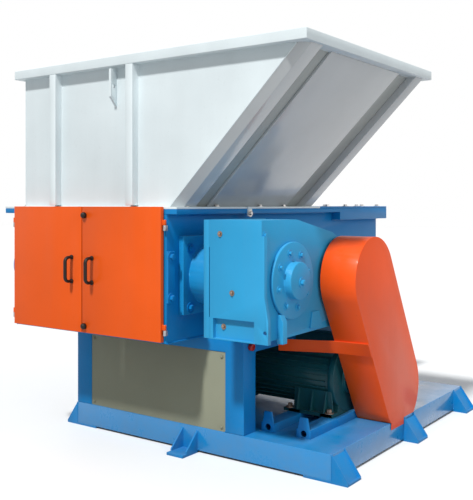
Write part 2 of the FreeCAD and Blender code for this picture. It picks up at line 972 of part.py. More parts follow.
# Front doors: folded trays hung on pins at the outer edges
DF = "(chamber_front-door_gap-door_thick)"
DB = "(chamber_front-door_gap)"
for side, label in ((-1, "left_door"), (1, "right_door")):
    if side < 0:
        x0 = CH_L + "+hinge_radius+door_gap"
        x1 = "chamber_centre-door_seam/2"
        pin_x = "(%s)" % CH_L
    else:
        x0 = "chamber_centre+door_seam/2"
        x1 = CH_R + "-hinge_radius-door_gap"
        pin_x = "(%s)" % CH_R
    tray = block(label + "_tray", x0, x1, DF, DB, "door_bottom", "door_top")
    dish = block(
        label + "_dish",
        x0 + "+door_sheet",
        x1 + "-door_sheet",
        DF + "+door_sheet",
        DB + "+1",
        "door_bottom+door_sheet",
        "door_top-door_sheet",
    )
    leaf = cut(label + "_leaf", tray, dish)
    knuckles = []
    for spot, name in (("hinge_low_z", "low"), ("hinge_high_z", "high")):
        knuckles.append(
            rod(
                "%s_%s_knuckle" % (label, name),
                "z",
                pin_x,
                DB + "-hinge_radius",
                spot,
                "hinge_radius",
                "hinge_length/2-hinge_play",
            )
        )
        side_x0 = pin_x if side < 0 else x1 + "-1"
        side_x1 = x0 + "+1" if side < 0 else pin_x
        knuckles.append(
            block(
                "%s_%s_strap" % (label, name),
                side_x0,
                side_x1,
                DB + "-hinge_radius-4",
                DB + "-hinge_radius+4",
                spot,
                spot + "+hinge_length/2-hinge_play",
            )
        )
    body = fuse(label + "_fuse", leaf, *knuckles)
    holes = []
    for spot, name in (("hinge_low_z", "low"), ("hinge_high_z", "high")):
        holes.append(
            rod(
                "%s_%s_eye" % (label, name),
                "z",
                pin_x,
                DB + "-hinge_radius",
                spot + "-1",
                "hinge_pin+hinge_play",
                "hinge_length/2+2",
            )
        )
    eyes = fuse(label + "_eyes", *holes)
    keep(cut(label + "_cut", body, eyes), label)

# Hinge lugs and pins on the chamber
halves = []
for side, label in ((-1, "left_hinges"), (1, "right_hinges")):
    pin_x = "(%s)" % (CH_L if side < 0 else CH_R)
    for spot, name in (("hinge_low_z", "low"), ("hinge_high_z", "high")):
        lower = rod(
            "%s_%s_half" % (label, name),
            "z",
            pin_x,
            DB + "-hinge_radius",
            spot + "-hinge_length/2",
            "hinge_radius",
            "hinge_length/2-hinge_play",
        )
        arm = block(
            "%s_%s_arm" % (label, name),
            pin_x + "-hinge_radius",
            pin_x + "+hinge_radius",
            DB + "-hinge_radius",
            "chamber_front",
            spot + "-hinge_length/2",
            spot + "-hinge_play",
        )
        pin = rod(
            "%s_%s_pin" % (label, name),
            "z",
            pin_x,
            DB + "-hinge_radius",
            spot + "-hinge_length/2",
            "hinge_pin",
            "hinge_length",
        )
        halves.append(fuse("%s_%s_set" % (label, name), lower, arm, pin))
keep(group("hinges_group", *halves), "door_hinges")

# Door pulls: bent rods on the doors
for side, label in ((-1, "left_handle"), (1, "right_handle")):
    x = "(chamber_centre+%d*handle_offset)" % side
    grip = rod(
        label + "_grip",
        "z",
        x,
        DF + "-handle_reach+handle_rod",
        "handle_z-handle_length/2",
        "handle_rod",
        "handle_length",
    )
    legs = []
    for end, tag in ((-1, "low"), (1, "high")):
        legs.append(
            rod(
                "%s_%s_leg" % (label, tag),
                "y",
                x,
                DF + "-handle_reach+handle_rod",
                "handle_z+%d*(handle_length/2-handle_rod)" % end,
                "handle_rod",
                "handle_reach-handle_rod",
            )
        )
    keep(fuse(label + "_fuse", grip, *legs), label)

# Turn locks of the doors, both on the right leaf
knobs = []
for spot, tag in (("knob_low", "low"), ("knob_high", "high")):
    knobs.append(
        rod("knob_" + tag, "y", "chamber_centre+knob_offset", DF + "-knob_rise", spot, "knob_radius", "knob_rise")
    )
keep(group("knobs_group", *knobs), "door_locks")

# Reducer: tall cast housing on the rotor shaft, long towards the belt drive
HOUSE = "(%s+reducer_flange)" % RED_L
profile = [
    ("reducer_front", "reducer_bottom"),
    ("input_y+casing_step", "reducer_bottom+casing_step"),
    ("reducer_back", "input_z-casing_low"),
    ("reducer_back", "input_z+casing_high"),
    ("input_y-casing_step", "reducer_top-casing_fall"),
    ("rotor_y+casing_step", "reducer_top"),
    ("reducer_front", "reducer_top"),
]
casting = prism("reducer_block", "yz", profile, HOUSE, "reducer_width-reducer_flange")
recess = block(
    "reducer_recess",
    HOUSE + "+recess_left",
    HOUSE + "+recess_right",
    "reducer_front-1",
    "reducer_front+recess_deep",
    "recess_low",
    "recess_high",
)
seam = block(
    "reducer_seam",
    HOUSE + "-1",
    HOUSE + "+seam_width",
    "reducer_front-1",
    "reducer_front+recess_deep",
    "seam_low",
    "seam_high",
)
side_rib = block(
    "reducer_side_rib",
    RED_R + "-1",
    RED_R + "+side_rib_reach",
    "reducer_front",
    "reducer_front+side_rib_wide",
    "reducer_bottom",
    "reducer_top-casing_fall",
)
lug_blank = prism(
    "reducer_lug",
    "xz",
    [
        (RED_R + "-1", "reducer_bottom"),
        (RED_R + "+reducer_lug_reach", "reducer_bottom"),
        (RED_R + "+reducer_lug_reach", "reducer_bottom+reducer_lug_high"),
        (RED_R + "+side_rib_reach", "reducer_bottom+2*reducer_lug_high"),
        (RED_R + "-1", "reducer_bottom+2*reducer_lug_high"),
    ],
    "-(reducer_front+side_rib_wide)",
    "side_rib_wide",
)
lug_bore = rod(
    "reducer_lug_bore",
    "y",
    RED_R + "+reducer_lug_reach/2",
    "reducer_front-1",
    "reducer_bottom+reducer_lug_high/2",
    "reducer_lug_hole",
    "side_rib_wide+2",
)
cast_shape = fuse("housing_fuse", casting, side_rib, lug_blank)
keep(cut("housing_cut", cast_shape, fuse("housing_tools", recess, seam, lug_bore)), "reducer_housing")
plate = block(
    "reducer_plate",
    RED_L,
    RED_L + "+reducer_flange",
    "reducer_front",
    "rotor_y+output_cover+reducer_flange_margin",
    "reducer_bottom",
    "reducer_top",
)
keep(plate, "reducer_flange_plate")
cover = rod("output_disc", "x", RED_R, "rotor_y", "rotor_z", "output_cover", "output_cover_thick")
cap = rod(
    "output_cap_disc",
    "x",
    RED_R + "+output_cover_thick",
    "rotor_y",
    "rotor_z",
    "output_cap",
    "output_cap_thick",
)
keep(fuse("output_fuse", cover, cap), "reducer_cover")

# Belt guard: sheet case round both pulleys
def loop(name, y0, z0, r0, y1, z1, r1, x0, x1):
    """Solid inside a taut loop round two circles, between two X planes."""
    gap = "sqrt((%s-%s)^2+(%s-%s)^2)" % (y1, y0, z1, z0)
    lean = "((%s-%s)/%s)" % (r0, r1, gap)
    side = "sqrt(1-%s^2)" % lean
    along_y = "((%s-%s)/%s)" % (y1, y0, gap)
    along_z = "((%s-%s)/%s)" % (z1, z0, gap)
    deep = "(%s)-(%s)" % (x1, x0)
    first = rod(name + "_first", "x", x0, y0, z0, r0, deep)
    second = rod(name + "_second", "x", x0, y1, z1, r1, deep)
    corners = []
    for y, z, r, hand in ((y0, z0, r0, "+"), (y1, z1, r1, "+"), (y1, z1, r1, "-"), (y0, z0, r0, "-")):
        away = "-" if hand == "+" else "+"
        corners.append(
            (
                "%s+%s*(%s*%s%s%s*%s)" % (y, r, lean, along_y, away, side, along_z),
                "%s+%s*(%s*%s%s%s*%s)" % (z, r, lean, along_z, hand, side, along_y),
            )
        )
    web = prism(name + "_web", "yz", corners, x0, deep)
    return fuse(name + "_whole", first, second, web)


def case(name, radius, x0, x1, base):
    whole = loop(name, "input_y", "input_z", radius, "guard_low_y", "guard_low_z", radius, x0, x1)
    below = block(
        name + "_below",
        "(%s)-1" % x0,
        "(%s)+1" % x1,
        "guard_low_y-2*guard_radius",
        "guard_low_y+2*guard_radius",
        "-200",
        base,
    )
    return cut(name, whole, below)


skin = case("guard_skin", "guard_radius", GD_IN, GD_OUT, "deck_top")
core = case(
    "guard_core",
    "(guard_radius-guard_sheet)",
    "(%s+guard_sheet)" % GD_IN,
    "(%s-guard_sheet)" % GD_OUT,
    "deck_top-1",
)
shell = cut("guard_shell", skin, core)
apron = block(
    "guard_apron",
    GD_OUT + "-guard_sheet",
    GD_OUT,
    "guard_low_y-sqrt(guard_radius^2-(guard_low_z-deck_top)^2)",
    "side_foot_y-foot_width/2-gusset_thick",
    "deck_top-guard_hang",
    "deck_top+guard_sheet",
)
before = GD_IN + "-guard_sheet"
through = "3*guard_sheet"
slot = rod("guard_shaft_hole", "x", before, "input_y", "input_z", "input_shaft_radius+guard_shaft_gap", through)
slot_low = rod("guard_motor_hole", "x", before, "motor_y", "motor_z", "motor_shaft_radius+guard_shaft_gap", through)
openings = fuse("guard_holes", slot, slot_low)
keep(fuse("guard_fuse", cut("guard_cut", shell, openings), apron), "belt_guard")

# Pulleys on their shafts and the belts between them
BX = "(%s+pulley_inset)" % GD_IN
BX_END = "(%s+pulley_inset+belt_width)" % GD_IN
input_rod = rod(
    "input_rod", "x", RED_R, "input_y", "input_z", "input_shaft_radius", BX_END + "-" + RED_R
)
big = rod("pulley_big", "x", BX, "input_y", "input_z", "big_pulley", "belt_width")
keep(fuse("input_fuse", input_rod, big), "reducer_pulley")
motor_rod = rod(
    "motor_rod", "x", MOT_R, "motor_y", "motor_z", "motor_shaft_radius", BX_END + "-" + MOT_R
)
small = rod("pulley_small", "x", BX, "motor_y", "motor_z", "small_pulley", "belt_width")
keep(fuse("output_rod_fuse", motor_rod, small), "motor_pulley")
belt_out = loop(
    "belt_out",
    "input_y",
    "input_z",
    "(big_pulley+belt_thick)",
    "motor_y",
    "motor_z",
    "(small_pulley+belt_thick)",
    BX + "+belt_inset",
    BX_END + "-belt_inset",
)
belt_in = loop("belt_in", "input_y", "input_z", "big_pulley", "motor_y", "motor_z", "small_pulley", BX, BX_END)
keep(cut("belt_cut", belt_out, belt_in), "drive_belts")

# Motor: finned barrel between a fan cowl and a drive end shield
FINNED = "(motor_length-cowl_length-shield_length-nose_length)"
barrel = rod("motor_barrel", "x", MOT_L + "+cowl_length", "motor_y", "motor_z", "motor_radius", FINNED)
fins = []
for i in range(int(dict(VALUES)["fin_count"])):
    fin = doc.addObject("Part::Box", "fin_%02d" % i)
    turn = 360.0 / dict(VALUES)["fin_count"] * i
    spin = FreeCAD.Rotation(V(1, 0, 0), turn)
    up = spin.multVec(V(0, 0, 1))
    back = spin.multVec(V(0, -1, 0))
    if up.z < -0.85:
        doc.removeObject(fin.Name)
        continue
    bind(fin, "Length", FINNED + "-2*fin_end")
    bind(fin, "Width", "fin_thick")
    bind(fin, "Height", "fin_rise")
    fin.Placement = FreeCAD.Placement(V(0, 0, 0), spin)
    bind(fin, ".Placement.Base.x", MOT_L + "+cowl_length+fin_end")
    bind(fin, ".Placement.Base.y", "motor_y+(%.6f)*motor_radius+(%.6f)*fin_thick/2" % (up.y, back.y))
    bind(fin, ".Placement.Base.z", "motor_z+(%.6f)*motor_radius+(%.6f)*fin_thick/2" % (up.z, back.z))
    fins.append(fin)
keep(fuse("motor_fuse", barrel, *fins), "motor_body")
cowl = rod("cowl", "x", MOT_L, "motor_y", "motor_z", "motor_radius+fin_rise", "cowl_length")
shield_x = MOT_R + "-nose_length-shield_length"
shield = rod("shield", "x", shield_x, "motor_y", "motor_z", "motor_radius+fin_rise", "shield_length")
nose = rod("nose", "x", MOT_R + "-nose_length", "motor_y", "motor_z", "nose_radius", "nose_length")
keep(group("covers_group", cowl, fuse("shield_fuse", shield, nose)), "motor_end_covers")

# Motor feet on channel rails, each rail with an upright horn at its front end
NEAR_X = "(%s-rail_near_back)" % MOT_R
FAR_X = "(%s-rail_near_back-rail_spacing)" % MOT_R
rails = []
foot_blocks = []
for x, foot_x, tag in ((FAR_X, FAR_X, "far"), (NEAR_X, NEAR_X + "-foot_back", "near")):
    beam = block(
        "rail_beam_" + tag,
        x + "-rail_width/2",
        x + "+rail_width/2",
        "rail_front_y",
        "motor_y+rail_behind",
        "deck_top",
        "motor_rail_top",
    )
    channel = block(
        "rail_channel_" + tag,
        x + "-rail_width/2+rail_wall",
        x + "+rail_width/2-rail_wall",
        "rail_front_y-1",
        "motor_y+rail_behind+1",
        "deck_top-1",
        "motor_rail_top-rail_wall",
    )
    horn = prism(
        "rail_horn_" + tag,
        "xz",
        [
            (x + "-rail_width/2", "deck_top"),
            (x + "+rail_width/2", "deck_top"),
            (x + "+horn_head/2", "horn_top"),
            (x + "-horn_head/2", "horn_top"),
        ],
        "-(rail_front_y+horn_thick)",
        "horn_thick",
    )
    arch_z = "(deck_top+motor_rail_top)/2"
    arch = rod("rail_arch_" + tag, "y", x, "rail_front_y-1", arch_z, "horn_hole", "horn_thick+2")
    whole = fuse("rail_fuse_" + tag, cut("rail_cut_" + tag, beam, channel), horn)
    rails.append(cut("rail_" + tag, whole, arch))
    blank = prism(
        "foot_blank_" + tag,
        "yz",
        [
            ("motor_y-motor_foot_reach", "motor_rail_top"),
            ("motor_y+motor_foot_reach", "motor_rail_top"),
            ("motor_y+motor_foot_reach", "motor_rail_top+foot_plate"),
            ("motor_y+foot_waist", "motor_rail_top+foot_plate"),
            ("motor_y+foot_waist-foot_plate", "motor_z-motor_foot_drop"),
            ("motor_y-foot_waist+foot_plate", "motor_z-motor_foot_drop"),
            ("motor_y-foot_waist", "motor_rail_top+foot_plate"),
            ("motor_y-motor_foot_reach", "motor_rail_top+foot_plate"),
        ],
        foot_x + "-motor_foot_width/2",
        "motor_foot_width",
    )
    saddle = rod(
        "foot_saddle_" + tag,
        "x",
        foot_x + "-motor_foot_width",
        "motor_y",
        "motor_z",
        "motor_radius+fin_rise+saddle_gap",
        "2*motor_foot_width",
    )
    foot_blocks.append(cut("foot_" + tag, blank, saddle))
keep(group("rails_group", *rails), "motor_rails")
keep(group("motor_feet_group", *foot_blocks), "motor_feet")

# Bracket: flat bar from the frame's side to the front of the guard
BRACKET_Y = "(input_y-guard_radius*bracket_share)"
keep(
    block(
        "bracket_bar",
        FRAME_R,
        GD_OUT,
        BRACKET_Y + "-bracket_thick",
        BRACKET_Y,
        "bracket_low",
        "bracket_high",
    ),
    "guard_bracket",
)

# Emergency stop button on the side of the front post
button = rod("button", "x", FRAME_R, DECK_F + "+button_inset", "button_z", "button_radius", "button_rise")
keep(button, "stop_button")

sizes.clear("Z1")
doc.recompute()

# Check every object, then write one file for each piece
for item in doc.Objects:
    for word in item.State:
        if word in ("Invalid", "Error"):
            raise RuntimeError("%s did not build" % item.Label)
labels = [item.Label for item in NODES]
if len(labels) != len(set(labels)):
    raise RuntimeError("two pieces share a label")
for item in NODES:
    shape = item.Shape
    if shape.isNull() or not shape.isValid() or not shape.Solids:
        raise RuntimeError("%s has no valid solid" % item.Label)

os.makedirs("parts", exist_ok=True)
for item in NODES:
    item.Shape.exportStep("parts/%s.step" % item.Label)
print("%d pieces written" % len(NODES))
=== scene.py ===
import math

import bmesh
import bpy
from mathutils import Matrix, Vector


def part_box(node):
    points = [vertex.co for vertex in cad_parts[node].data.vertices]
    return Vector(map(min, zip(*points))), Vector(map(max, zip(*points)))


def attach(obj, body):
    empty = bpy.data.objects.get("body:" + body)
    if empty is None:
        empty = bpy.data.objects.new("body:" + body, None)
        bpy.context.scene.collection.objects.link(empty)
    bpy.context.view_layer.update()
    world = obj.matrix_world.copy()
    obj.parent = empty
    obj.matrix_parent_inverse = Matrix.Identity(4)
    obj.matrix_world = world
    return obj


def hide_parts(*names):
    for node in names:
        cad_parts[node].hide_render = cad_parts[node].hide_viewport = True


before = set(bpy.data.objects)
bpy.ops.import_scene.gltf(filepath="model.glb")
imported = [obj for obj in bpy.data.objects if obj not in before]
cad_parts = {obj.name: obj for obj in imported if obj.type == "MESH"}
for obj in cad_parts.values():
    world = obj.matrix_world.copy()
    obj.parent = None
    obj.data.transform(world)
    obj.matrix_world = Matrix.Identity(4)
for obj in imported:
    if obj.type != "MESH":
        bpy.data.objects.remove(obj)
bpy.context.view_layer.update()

# Studio
# A pale level floor with a white surround, one high lamp in front that throws
# the clear shadow under the hopper's rim, and a wide soft lamp on the right.
scene = bpy.context.scene
scene.view_settings.view_transform = "Standard"


class Wire:
    """One socket of a node tree, so that the maths on it reads as a sum."""

    def __init__(self, tree, socket):
        self.tree = tree
        self.socket = socket

    def node(self, kind, settings=None, values=None, out=0):
        made = self.tree.nodes.new(kind)
        for name, value in (settings or {}).items():
            if name == "stops":
                for stop, (place, shade) in zip(made.color_ramp.elements, value):
                    stop.position = place
                    stop.color = shade
            else:
                setattr(made, name, value)
        for name, value in (values or {}).items():
            if isinstance(value, list):
                for each in value:
                    self.tree.links.new(each.socket, made.inputs[name])
            elif isinstance(value, Wire):
                self.tree.links.new(value.socket, made.inputs[name])
            else:
                made.inputs[name].default_value = value
        return Wire(self.tree, made.outputs[out])

    def sum(self, operation, first, second):
        return self.node("ShaderNodeMath", {"operation": operation}, {0: first, 1: second})

    def __add__(self, other):
        return self.sum("ADD", self, other)

    def __radd__(self, other):
        return self.sum("ADD", other, self)

    def __sub__(self, other):
        return self.sum("SUBTRACT", self, other)

    def __rsub__(self, other):
        return self.sum("SUBTRACT", other, self)

    def __mul__(self, other):
        return self.sum("MULTIPLY", self, other)

    def __rmul__(self, other):
        return self.sum("MULTIPLY", other, self)

    def noise(self, scale, detail=2.0, rough=0.5):
        values = {"Vector": self, "Scale": scale, "Detail": detail, "Roughness": rough}
        return self.node("ShaderNodeTexNoise", {}, values)

    def stretched(self, x, y, z):
        return self.node("ShaderNodeMapping", {}, {"Vector": self, "Scale": (x, y, z)})

    def between(self, low, high):
        """0 at low, 1 at high, and held there beyond them."""
        values = {"Value": self, "From Min": low, "From Max": high}
        return self.node("ShaderNodeMapRange", {"clamp": True}, values)

    def mix(self, first, second):
        """Colour that goes from first to second as this goes from 0 to 1."""
        pair = [c if isinstance(c, Wire) else (c[0], c[1], c[2], 1.0) for c in (first, second)]
        values = {"Factor": self, 6: pair[0], 7: pair[1]}
        return self.node("ShaderNodeMix", {"data_type": "RGBA"}, values, out=2)

    def part(self, index):
        return self.node("ShaderNodeSeparateXYZ", {}, {"Vector": self}, out=index)


def seen_directly(tree):
    """1 for a ray from the camera, off gloss or through glass, 0 for light on the object."""
    rays = tree.nodes.new("ShaderNodeLightPath")
    kinds = ("Is Camera Ray", "Is Glossy Ray", "Is Transmission Ray")
    camera_ray, glossy_ray, glass_ray = [Wire(tree, rays.outputs[kind]) for kind in kinds]
    return (camera_ray + glossy_ray + glass_ray).between(0.0, 1.0)


def blank_finish(name):
    """New finish, its shader, and a wire that holds the place on the piece."""
    finish = bpy.data.materials.new(name)
    finish.use_nodes = True
    tree = finish.node_tree
    place = Wire(tree, tree.nodes.new("ShaderNodeTexCoord").outputs["Object"])
    return finish, tree.nodes["Principled BSDF"], place


surround = bpy.data.worlds.new("surround")
surround.use_nodes = True
scene.world = surround
sky_tree = surround.node_tree
sky_tree.nodes.clear()
seen = seen_directly(sky_tree)
soft_sky = seen.node("ShaderNodeBackground", {}, {"Color": (0.93, 0.97, 1.0, 1.0), "Strength": 0.36})
white_sky = seen.node("ShaderNodeBackground", {}, {"Color": (1.0, 1.0, 1.0, 1.0), "Strength": 1.0})
either = seen.node("ShaderNodeMixShader", {}, {0: seen, 1: soft_sky, 2: white_sky})
sky_out = sky_tree.nodes.new("ShaderNodeOutputWorld")
sky_tree.links.new(either.socket, sky_out.inputs["Surface"])

floor_mesh = bpy.data.meshes.new("studio_floor")
reach = 40.0
corners = [(-reach, -reach, 0), (reach, -reach, 0), (reach, reach, 0), (-reach, reach, 0)]
floor_mesh.from_pydata(corners, [], [(0, 1, 2, 3)])
floor = bpy.data.objects.new("studio_floor", floor_mesh)
scene.collection.objects.link(floor)
floor_finish, floor_shader, floor_place = blank_finish("studio floor")
floor_tree = floor_finish.node_tree
floor_tone = floor_place.noise(0.8, 3.0).mix((0.88, 0.89, 0.90), (0.92, 0.93, 0.94))
floor_tone = seen_directly(floor_tree).mix((0.36, 0.37, 0.38), floor_tone)
floor_tree.links.new(floor_tone.socket, floor_shader.inputs["Base Color"])
floor_shader.inputs["Roughness"].default_value = 0.6
floor_shader.inputs["Specular IOR Level"].default_value = 0.2
floor_mesh.materials.append(floor_finish)


def lamp(name, kind, spot, aim, power, tint, width):
    """Sun of a given angle, or round area lamp of a given size, aimed at a point."""
    light = bpy.data.lights.new(name, kind)
    light.energy = power
    light.color = tint
    if kind == "SUN":
        light.angle = width
    else:
        light.shape = "DISK"
        light.size = width
    holder = bpy.data.objects.new(name, light)
    holder.location = spot
    holder.rotation_euler = (Vector(aim) - Vector(spot)).to_track_quat("-Z", "Y").to_euler()
    scene.collection.objects.link(holder)


lamp("key", "SUN", (0.4, -4.3, 6.1), (0.0, 0.0, 0.0), 3.1, (1.0, 0.99, 0.97), math.radians(5))
lamp("fill", "AREA", (7.5, -2.5, 3.0), (0.3, 0.0, 1.0), 110.0, (1.0, 0.99, 0.98), 5.0)

camera_data = bpy.data.cameras.new("camera")
camera_data.sensor_fit = "VERTICAL"
camera_data.sensor_height = 36.0
camera_data.lens = 56.4
camera_data.shift_x, camera_data.shift_y = 0.001, -0.09
camera = bpy.data.objects.new("camera", camera_data)
camera.location = (3.101, -4.500, 1.440)
camera.rotation_euler = (math.radians(90), 0, math.radians(35.8))
scene.collection.objects.link(camera)
scene.camera = camera

# Welded base
# Folded steel deck on flared box feet, with a short toe on the front skirt,
# welded up and sprayed with blue enamel.


def dress(shader, tone, rough, bump):
    """Lead what changes over a surface to its shader."""
    for label, wire in (("Base Color", tone), ("Roughness", rough), ("Normal", bump)):
        wire.tree.links.new(wire.socket, shader.inputs[label])


def enamel(name, colour, gloss=0.34, coat=0.05, ripple=0.10, dust=0.08, grime=0.25, shine=0.16):
    """Sprayed enamel: slow colour drift, orange peel, dust on top, soil low down."""
    finish, shader, place = blank_finish(name)
    up = place.node("ShaderNodeNewGeometry", out="Normal").part(2)
    drift = place.noise(1.6, 3.0).between(0.25, 0.75)
    runs = place.stretched(9.0, 9.0, 0.8).noise(1.0, 4.0, 0.6).between(0.45, 0.75)
    speck = place.noise(55.0, 5.0, 0.7).between(0.60, 0.72)
    settled = up.between(0.5, 1.0) * place.noise(5.0, 5.0, 0.65).between(0.35, 0.75)
    low = (1.0 - place.part(2).between(0.02, 0.32)) * place.noise(7.0, 5.0, 0.7).between(0.40, 0.75)
    darker = tuple(c * 0.90 for c in colour)
    lighter = tuple(min(1.0, c * 1.06 + 0.004) for c in colour)
    tone = drift.mix(darker, lighter)
    tone = (runs * 0.10).mix(tone, tuple(c * 0.6 + 0.10 for c in colour))
    tone = (speck * 0.12).mix(tone, tuple(c * 0.55 for c in colour))
    tone = (settled * dust).mix(tone, (0.55, 0.53, 0.49))
    tone = (low * grime).mix(tone, (0.20, 0.17, 0.13))
    rough = gloss + drift * 0.06 + runs * 0.08 + settled * 0.25 + low * 0.30
    peel = place.noise(420.0, 2.0)
    wave = place.noise(3.2, 2.0)
    fine = place.node("ShaderNodeBump", {}, {"Strength": 0.10, "Distance": 0.0008, "Height": peel})
    broad = {"Strength": ripple, "Distance": 0.02, "Height": wave, "Normal": fine}
    dress(shader, tone, rough, place.node("ShaderNodeBump", {}, broad))
    shader.inputs["Coat Weight"].default_value = coat
    shader.inputs["Coat Roughness"].default_value = 0.10
    shader.inputs["Specular IOR Level"].default_value = shine
    return finish


def settle(piece, slot, body, *nodes):
    """Hand a finished piece to its body, and hide what it stands for; slot is not used."""
    if nodes:
        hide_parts(*nodes)
    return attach(piece, body)


def soften(piece, width):
    """Round the sharp edges over, as paint and handling leave them."""
    edge = piece.modifiers.new("edges", "BEVEL")
    edge.width = width
    edge.segments = 2
    edge.limit_method = "ANGLE"
    edge.angle_limit = math.radians(38)
    edge.harden_normals = True


def eased(node, width, finish, slot, body="machine"):
    """Copy of a CAD node with its sharp edges rounded over, which stands for it."""
    shape = bmesh.new()
    shape.from_mesh(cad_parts[node].data)
    bmesh.ops.remove_doubles(shape, verts=shape.verts, dist=0.00002)
    flat = math.radians(0.4)
    bmesh.ops.dissolve_limit(shape, angle_limit=flat, verts=shape.verts, edges=shape.edges)
    for face in shape.faces:
        face.smooth = True
    mesh = bpy.data.meshes.new(node + "_finished")
    shape.to_mesh(mesh)
    shape.free()
    mesh.materials.append(finish)
    piece = bpy.data.objects.new(node + "_finished", mesh)
    scene.collection.objects.link(piece)
    soften(piece, width)
    return settle(piece, slot, body, node)


frame_blue = enamel("frame blue enamel", (0.001, 0.215, 0.550))
# The deck's blue is the frame's blue made a little lighter, as painted light for its lit top; its
# glossier coat is real.
deck_glossy_lit_blue = enamel("deck blue with painted light", (0.001, 0.235, 0.570), gloss=0.22, coat=0.6, shine=0.4)
eased("base_deck", 0.0025, deck_glossy_lit_blue, "frame_blue")
for node, width in (("base_feet", 0.0015), ("front_foot", 0.0015)):
    eased(node, width, frame_blue, "frame_blue")


def tree_start(tree, inputs):
    """Named inputs of a Geometry Nodes tree, and wires that start at them."""
    for label, kind, value in inputs:
        socket = tree.interface.new_socket(label, in_out="INPUT", socket_type="NodeSocket" + kind)
        if value is not None:
            socket.default_value = value
    tree.interface.new_socket("Geometry", in_out="OUTPUT", socket_type="NodeSocketGeometry")
    source = tree.nodes.new("NodeGroupInput")
    return [Wire(tree, source.outputs[label]) for label, kind, value in inputs]


def tree_end(tree, shape, finish):
    """Real faces in one finish, as the tree's result."""
    real = shape.node("GeometryNodeRealizeInstances", {}, {"Geometry": shape})
    dressed = shape.node("GeometryNodeSetMaterial", {}, {"Geometry": real, "Material": finish})
    sink = tree.nodes.new("NodeGroupOutput")
    tree.links.new(dressed.socket, sink.inputs["Geometry"])


def grown(name, tree, verts, edges, inputs, slot, body="machine"):
    """Plain mesh that a tree makes from points or lines, handed to its body."""
    seed_mesh = bpy.data.meshes.new(name + "_seed")
    seed_mesh.from_pydata(verts, edges, [])
    holder = bpy.data.objects.new(name + "_seed", seed_mesh)
    scene.collection.objects.link(holder)
    grow = holder.modifiers.new("grow", "NODES")
    grow.node_group = tree
    sockets = [item for item in tree.interface.items_tree if item.in_out == "INPUT"]
    keys = {item.name: item.identifier for item in sockets}
    for label, value in inputs.items():
        grow[keys[label]] = value
    ready = holder.evaluated_get(bpy.context.evaluated_depsgraph_get())
    mesh = bpy.data.meshes.new_from_object(ready)
    holder.modifiers.remove(grow)
    bpy.data.objects.remove(holder)
    mesh.name = name
    piece = bpy.data.objects.new(name, mesh)
    scene.collection.objects.link(piece)
    return settle(piece, slot, body)


weld_tree = bpy.data.node_groups.new("weld bead", "GeometryNodeTree")
lines, bead, pitch, seed, weld_finish = tree_start(
    weld_tree,
    [
        ("Geometry", "Geometry", None),
        ("Bead radius", "Float", 0.004),
        ("Ripple pitch", "Float", 0.007),
        ("Seed", "Int", 5),
        ("Finish", "Material", None),
    ],
)
path = lines.node("GeometryNodeMeshToCurve", {}, {"Mesh": lines})
path = lines.node("GeometryNodeResampleCurve", {"mode": "LENGTH"}, {"Curve": path, "Length": pitch})
swell = {2: 0.75, 3: 1.15, "Seed": seed}
swell = lines.node("FunctionNodeRandomValue", {"data_type": "FLOAT"}, swell, out=1)
path = lines.node("GeometryNodeSetCurveRadius", {}, {"Curve": path, "Radius": swell})
section = lines.node("GeometryNodeCurvePrimitiveCircle", {}, {"Resolution": 6, "Radius": bead})
swept = {"Curve": path, "Profile Curve": section, "Fill Caps": True}
weld = lines.node("GeometryNodeCurveToMesh", {}, swept)
tree_end(weld_tree, weld, weld_finish)


def welds(name, runs, radius, finish, slot, body="machine"):
    """Weld beads along straight runs, each a pair of ends."""
    verts = [end for run in runs for end in run]
    edges = [(2 * i, 2 * i + 1) for i in range(len(runs))]
    inputs = {"Bead radius": radius, "Ripple pitch": radius * 1.7, "Seed": 5, "Finish": finish}
    return grown(name, weld_tree, verts, edges, inputs, slot, body)


deck_left, deck_right, deck_front = -0.755, 1.135, -0.933
seam_low, seam_top, toe_top = 0.016, 0.148, 0.128
runs = []
for x in (deck_left, deck_right):
    for foot_edge in (deck_front, 0.817, -0.029):
        for flank in (0.0, 0.010, 0.140, 0.150):
            y = foot_edge + flank
            runs.append(((x, y, seam_low), (x, y, seam_top)))
for x in (0.135, 0.145, 0.245, 0.255):
    runs.append(((x, deck_front, seam_low), (x, deck_front, toe_top)))
welds("foot_welds", runs, 0.003, frame_blue, "frame_blue")

# Support frame and its panels
# Box section posts and beams that carry the chamber, with two plain sheets let
# in between the posts and held by small screws.
eased("support_frame", 0.005, frame_blue, "frame_blue")
panel_grey = enamel("panel grey enamel", (0.275, 0.285, 0.208), gloss=0.45, coat=0.0, ripple=0.16)
eased("frame_panels", 0.0008, panel_grey, "panel_grey")
post_x = ((-0.755, -0.625), (0.451, 0.581))
post_y = ((-0.933, -0.813), (0.847, 0.967))
inner_x, inner_y = (-0.625, 0.451), (-0.813, 0.847)
deck_seam, beam_low, beam_top = 0.151, 0.603, 0.681
runs = [((x0, y, deck_seam), (x1, y, deck_seam)) for x0, x1 in post_x for y in inner_y]
runs += [((x, y0, deck_seam), (x, y1, deck_seam)) for x in inner_x for y0, y1 in post_y]
runs += [((x, y, beam_low), (x, y, beam_top)) for x in (-0.755, 0.581) for y in inner_y]
welds("frame_welds", runs, 0.004, frame_blue, "frame_blue")

bolt_tree = bpy.data.node_groups.new("hexagon bolts", "GeometryNodeTree")
spots, across, high, facing, seed, bolt_finish = tree_start(
    bolt_tree,
    [
        ("Geometry", "Geometry", None),
        ("Across flats", "Float", 0.019),
        ("Head height", "Float", 0.009),
        ("Facing", "Vector", (0.0, 0.0, 0.0)),
        ("Seed", "Int", 7),
        ("Finish", "Material", None),
    ],
)
washer_thick = high * 0.28


def raised(shape, rise):
    """A form of the bolt, lifted along its axis."""
    lift = shape.node("ShaderNodeCombineXYZ", {}, {"Z": rise})
    return shape.node("GeometryNodeTransform", {}, {"Geometry": shape, "Translation": lift})


